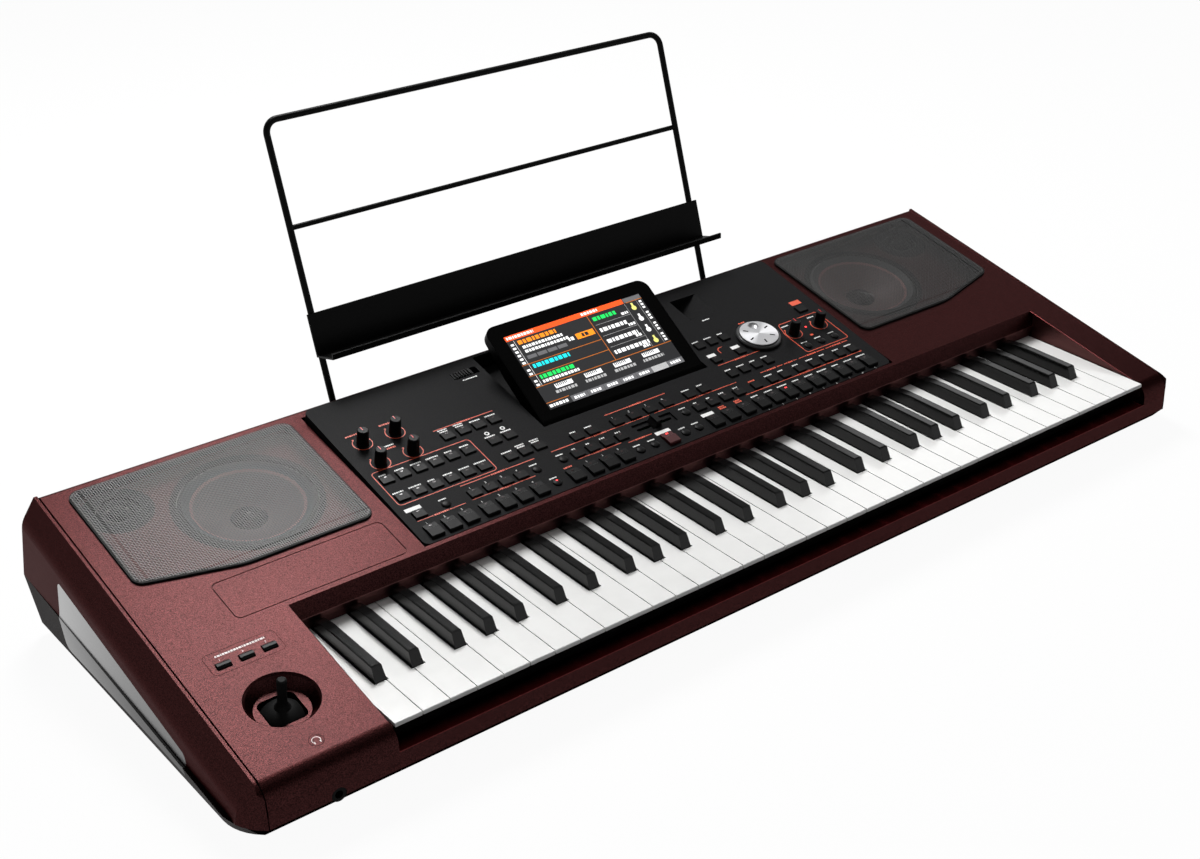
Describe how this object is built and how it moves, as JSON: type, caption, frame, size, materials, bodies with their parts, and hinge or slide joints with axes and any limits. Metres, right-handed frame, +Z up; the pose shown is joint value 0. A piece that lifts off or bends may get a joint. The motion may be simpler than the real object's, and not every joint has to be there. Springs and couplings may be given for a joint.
{
  "type": "arranger keyboard",
  "caption": "Portable arranger keyboard with piano keys, sloped control panel, tilting display, joystick, built-in speakers and a lift-out wire music stand.",
  "frame": {"origin": "on the floor under the middle of the whole object's box, music stand included", "axes": "+X along the keys to the treble end, +Y from the player to the back, +Z up"},
  "size_m": [1.025, 0.4615, 0.3595],
  "materials": {
    "red_paint": "dark red metallic paint on moulded plastic, satin",
    "black_case": "black-brown moulded plastic",
    "silver_panel": "silver-grey satin paint",
    "charcoal_panel": "charcoal satin plastic with printed scales",
    "grille_metal": "woven grey metal mesh",
    "black_rubber": "black rubber",
    "speaker_steel": "black stamped steel",
    "speaker_cone": "dark red paper cone with a black surround",
    "key_white": "white key plastic",
    "key_black": "black key plastic",
    "chassis_steel": "black-painted folded sheet",
    "felt": "red felt",
    "button_black": "black button plastic",
    "button_red": "dark red button plastic",
    "dial_silver": "spun silver face on a black drum",
    "display_plastic": "black plastic",
    "display_glass": "black glass over a lit screen",
    "stand_metal": "black powder-coated steel",
    "socket_black": "black socket plastic",
    "board_green": "green circuit board",
    "supply_metal": "plain aluminium box",
    "screw_steel": "blackened steel"
  },
  "bodies": {
    "case": {"bottom_case": "black_case", "centre_frame": "red_paint", "circuit_boards": "board_green", "control_panel": "charcoal_panel", "end_caps": "red_paint", "feet": "black_rubber", "front_rail": "red_paint", "grille_rims": "black_rubber", "jack_sockets": "socket_black", "joystick_base": "socket_black", "key_chassis": "chassis_steel", "key_felts": "felt", "power_supply": "supply_metal", "screws": "screw_steel", "side_inserts": "silver_panel", "speaker_grilles": "grille_metal", "tweeters": "speaker_steel", "upper_case_left": "red_paint", "upper_case_right": "red_paint", "woofer_baskets": "speaker_steel", "woofer_cones": "speaker_cone"},
    "c_keys": {"c_keys": "key_white"},
    "c_sharp_keys": {"c_sharp_keys": "key_black"},
    "d_keys": {"d_keys": "key_white"},
    "d_sharp_keys": {"d_sharp_keys": "key_black"},
    "e_keys": {"e_keys": "key_white"},
    "f_keys": {"f_keys": "key_white"},
    "f_sharp_keys": {"f_sharp_keys": "key_black"},
    "g_keys": {"g_keys": "key_white"},
    "g_sharp_keys": {"g_sharp_keys": "key_black"},
    "a_keys": {"a_keys": "key_white"},
    "a_sharp_keys": {"a_sharp_keys": "key_black"},
    "b_keys": {"b_keys": "key_white"},
    "style_buttons": {"style_buttons": "button_black"},
    "mode_buttons": {"mode_buttons": "button_black"},
    "pad_buttons": {"pad_buttons": "button_black"},
    "player_buttons": {"player_buttons": "button_black"},
    "page_buttons": {"page_buttons": "button_black"},
    "tune_buttons": {"tune_buttons": "button_black"},
    "power_button": {"power_button": "button_black"},
    "section_buttons": {"section_buttons": "button_black"},
    "start_stop_button": {"start_stop_button": "button_red"},
    "library_buttons": {"library_buttons": "button_black"},
    "round_buttons": {"round_buttons": "button_black"},
    "assign_switches": {"assign_switches": "button_black"},
    "volume_knob": {"volume_knob": "button_black"},
    "balance_knob": {"balance_knob": "button_black"},
    "assign_knob_one": {"assign_knob_one": "button_black"},
    "assign_knob_two": {"assign_knob_two": "button_black"},
    "mic_gain_knob": {"mic_gain_knob": "button_black"},
    "mic_effect_knob": {"mic_effect_knob": "button_black"},
    "value_dial": {"value_dial": "dial_silver"},
    "crossfader": {"crossfader": "button_black"},
    "display_latch": {"display_latch": "button_black"},
    "display": {"display_housing": "display_plastic", "display_glass": "display_glass"},
    "joystick_gimbal": {"joystick_gimbal": "socket_black"},
    "joystick_stick": {"joystick_stick": "button_black"},
    "music_stand": {"music_stand_frame": "stand_metal", "music_stand_shelf": "stand_metal"}
  },
  "joints": [
    {"name": "c_keys_press", "type": "hinge", "parent": "case", "child": "c_keys", "pos_m": [0, -0.03129, 0.0493], "axis": [1, 0, 0], "range_deg": [0, 3], "stiffness_Nm_per_rad": 6, "springref_deg": -8.02},
    {"name": "c_sharp_keys_press", "type": "hinge", "parent": "case", "child": "c_sharp_keys", "pos_m": [0, -0.03129, 0.0493], "axis": [1, 0, 0], "range_deg": [0, 3], "stiffness_Nm_per_rad": 6, "springref_deg": -8.02},
    {"name": "d_keys_press", "type": "hinge", "parent": "case", "child": "d_keys", "pos_m": [0, -0.03129, 0.0493], "axis": [1, 0, 0], "range_deg": [0, 3], "stiffness_Nm_per_rad": 6, "springref_deg": -8.02},
    {"name": "d_sharp_keys_press", "type": "hinge", "parent": "case", "child": "d_sharp_keys", "pos_m": [0, -0.03129, 0.0493], "axis": [1, 0, 0], "range_deg": [0, 3], "stiffness_Nm_per_rad": 6, "springref_deg": -8.02},
    {"name": "e_keys_press", "type": "hinge", "parent": "case", "child": "e_keys", "pos_m": [0, -0.03129, 0.0493], "axis": [1, 0, 0], "range_deg": [0, 3], "stiffness_Nm_per_rad": 6, "springref_deg": -8.02},
    {"name": "f_keys_press", "type": "hinge", "parent": "case", "child": "f_keys", "pos_m": [0, -0.03129, 0.0493], "axis": [1, 0, 0], "range_deg": [0, 3], "stiffness_Nm_per_rad": 6, "springref_deg": -8.02},
    {"name": "f_sharp_keys_press", "type": "hinge", "parent": "case", "child": "f_sharp_keys", "pos_m": [0, -0.03129, 0.0493], "axis": [1, 0, 0], "range_deg": [0, 3], "stiffness_Nm_per_rad": 6, "springref_deg": -8.02},
    {"name": "g_keys_press", "type": "hinge", "parent": "case", "child": "g_keys", "pos_m": [0, -0.03129, 0.0493], "axis": [1, 0, 0], "range_deg": [0, 3], "stiffness_Nm_per_rad": 6, "springref_deg": -8.02},
    {"name": "g_sharp_keys_press", "type": "hinge", "parent": "case", "child": "g_sharp_keys", "pos_m": [0, -0.03129, 0.0493], "axis": [1, 0, 0], "range_deg": [0, 3], "stiffness_Nm_per_rad": 6, "springref_deg": -8.02},
    {"name": "a_keys_press", "type": "hinge", "parent": "case", "child": "a_keys", "pos_m": [0, -0.03129, 0.0493], "axis": [1, 0, 0], "range_deg": [0, 3], "stiffness_Nm_per_rad": 6, "springref_deg": -8.02},
    {"name": "a_sharp_keys_press", "type": "hinge", "parent": "case", "child": "a_sharp_keys", "pos_m": [0, -0.03129, 0.0493], "axis": [1, 0, 0], "range_deg": [0, 3], "stiffness_Nm_per_rad": 6, "springref_deg": -8.02},
    {"name": "b_keys_press", "type": "hinge", "parent": "case", "child": "b_keys", "pos_m": [0, -0.03129, 0.0493], "axis": [1, 0, 0], "range_deg": [0, 3], "stiffness_Nm_per_rad": 6, "springref_deg": -8.02},
    {"name": "style_buttons_press", "type": "slide", "parent": "case", "child": "style_buttons", "axis": [0, 0.2284, -0.9736], "range_m": [0, 0.001], "stiffness_N_per_m": 1500, "springref_m": -0.001},
    {"name": "mode_buttons_press", "type": "slide", "parent": "case", "child": "mode_buttons", "axis": [0, 0.2284, -0.9736], "range_m": [0, 0.001], "stiffness_N_per_m": 1500, "springref_m": -0.001},
    {"name": "pad_buttons_press", "type": "slide", "parent": "case", "child": "pad_buttons", "axis": [0, 0.2284, -0.9736], "range_m": [0, 0.001], "stiffness_N_per_m": 1500, "springref_m": -0.001},
    {"name": "player_buttons_press", "type": "slide", "parent": "case", "child": "player_buttons", "axis": [0, 0.2284, -0.9736], "range_m": [0, 0.001], "stiffness_N_per_m": 1500, "springref_m": -0.001},
    {"name": "page_buttons_press", "type": "slide", "parent": "case", "child": "page_buttons", "axis": [0, 0.2284, -0.9736], "range_m": [0, 0.001], "stiffness_N_per_m": 1500, "springref_m": -0.001},
    {"name": "tune_buttons_press", "type": "slide", "parent": "case", "child": "tune_buttons", "axis": [0, 0.2284, -0.9736], "range_m": [0, 0.001], "stiffness_N_per_m": 1500, "springref_m": -0.001},
    {"name": "power_button_press", "type": "slide", "parent": "case", "child": "power_button", "axis": [0, 0.2284, -0.9736], "range_m": [0, 0.001], "stiffness_N_per_m": 1500, "springref_m": -0.001},
    {"name": "section_buttons_press", "type": "slide", "parent": "case", "child": "section_buttons", "axis": [0, 0.2284, -0.9736], "range_m": [0, 0.001], "stiffness_N_per_m": 1500, "springref_m": -0.001},
    {"name": "start_stop_button_press", "type": "slide", "parent": "case", "child": "start_stop_button", "axis": [0, 0.2284, -0.9736], "range_m": [0, 0.001], "stiffness_N_per_m": 1500, "springref_m": -0.001},
    {"name": "library_buttons_press", "type": "slide", "parent": "case", "child": "library_buttons", "axis": [0, 0.2284, -0.9736], "range_m": [0, 0.001], "stiffness_N_per_m": 1500, "springref_m": -0.001},
    {"name": "round_buttons_press", "type": "slide", "parent": "case", "child": "round_buttons", "axis": [0, 0.2284, -0.9736], "range_m": [0, 0.001], "stiffness_N_per_m": 1500, "springref_m": -0.001},
    {"name": "assign_switches_press", "type": "slide", "parent": "case", "child": "assign_switches", "axis": [0, 0.1942, -0.981], "range_m": [0, 0.001], "stiffness_N_per_m": 1500, "springref_m": -0.001},
    {"name": "volume_knob_turn", "type": "hinge", "parent": "case", "child": "volume_knob", "pos_m": [-0.241, 0.0619, 0.11793], "axis": [0, -0.2284, 0.9736], "range_deg": [-150, 150]},
    {"name": "balance_knob_turn", "type": "hinge", "parent": "case", "child": "balance_knob", "pos_m": [-0.20921, 0.0619, 0.11793], "axis": [0, -0.2284, 0.9736], "range_deg": [-150, 150]},
    {"name": "assign_knob_one_turn", "type": "hinge", "parent": "case", "child": "assign_knob_one", "pos_m": [-0.241, 0.03325, 0.11121], "axis": [0, -0.2284, 0.9736], "range_deg": [-150, 150]},
    {"name": "assign_knob_two_turn", "type": "hinge", "parent": "case", "child": "assign_knob_two", "pos_m": [-0.20921, 0.03325, 0.11121], "axis": [0, -0.2284, 0.9736], "range_deg": [-150, 150]},
    {"name": "mic_gain_knob_turn", "type": "hinge", "parent": "case", "child": "mic_gain_knob", "pos_m": [0.2074, 0.00995, 0.10575], "axis": [0, -0.2284, 0.9736], "range_deg": [-150, 150]},
    {"name": "mic_effect_knob_turn", "type": "hinge", "parent": "case", "child": "mic_effect_knob", "pos_m": [0.2408, 0.00995, 0.10575], "axis": [0, -0.2284, 0.9736], "range_deg": [-150, 150]},
    {"name": "value_dial_turn", "type": "hinge", "parent": "case", "child": "value_dial", "pos_m": [0.17103, 0.02111, 0.10837], "axis": [0, -0.2284, 0.9736], "continuous": true},
    {"name": "crossfader_slide", "type": "slide", "parent": "case", "child": "crossfader", "axis": [1, 0, 0], "range_m": [-0.016, 0.016]},
    {"name": "display_latch_slide", "type": "slide", "parent": "case", "child": "display_latch", "axis": [1, 0, 0], "range_m": [0, 0.006], "stiffness_N_per_m": 200, "springref_m": -0.002},
    {"name": "display_tilt", "type": "hinge", "parent": "case", "child": "display", "pos_m": [0.00199, 0.01627, 0.10096], "axis": [1, 0, 0], "range_deg": [-20.1, 25]},
    {"name": "joystick_fore_aft", "type": "hinge", "parent": "case", "child": "joystick_gimbal", "pos_m": [-0.4401, -0.15491, 0.04231], "axis": [1, 0, 0], "range_deg": [-18, 18], "stiffness_Nm_per_rad": 0.3},
    {"name": "joystick_left_right", "type": "hinge", "parent": "joystick_gimbal", "child": "joystick_stick", "pos_m": [-0.4401, -0.15491, 0.04231], "axis": [0, 0.981, 0.1942], "range_deg": [-18, 18], "stiffness_Nm_per_rad": 0.3},
    {"name": "music_stand_lift", "type": "slide", "parent": "case", "child": "music_stand", "axis": [0, 0.2656, 0.9641], "range_m": [0, 0.018]}
  ]
}
